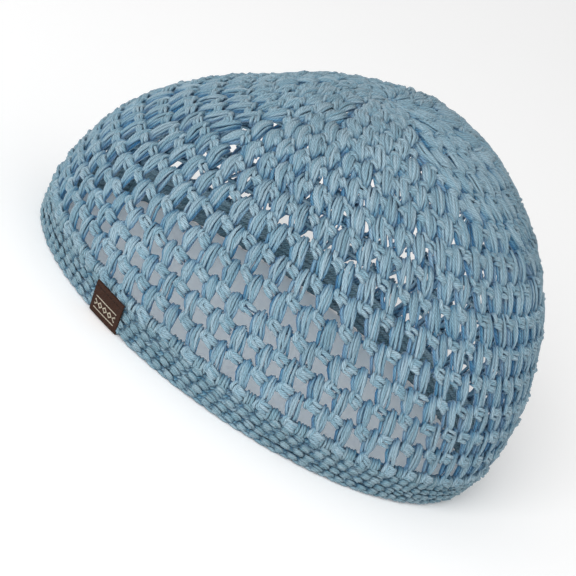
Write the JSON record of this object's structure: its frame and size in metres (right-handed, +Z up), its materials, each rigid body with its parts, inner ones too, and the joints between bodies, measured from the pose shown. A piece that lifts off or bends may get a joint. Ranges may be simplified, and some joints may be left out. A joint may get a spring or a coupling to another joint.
{
  "type": "crocheted skullcap",
  "caption": "Round crocheted skullcap with an openwork puff-stitch crown, a dense edge band and a small folded label tab over the rim.",
  "frame": {"origin": "centre of the cap's box on the plane that the rim stands on", "axes": "+Z up through the crown, +X along the cap's long way towards the fuller end, -Y towards the side with the label tab"},
  "size_m": [0.1933, 0.1666, 0.1133],
  "materials": {
    "cotton_openwork": "light blue mercerised cotton yarn, soft sheen",
    "cotton_band": "light blue cotton yarn, dense single crochet",
    "woven_label": "dark brown woven label, fine weave"
  },
  "bodies": {
    "root": {"crown": "cotton_openwork", "edge_band": "cotton_band", "label_tab": "woven_label"}
  },
  "joints": []
}
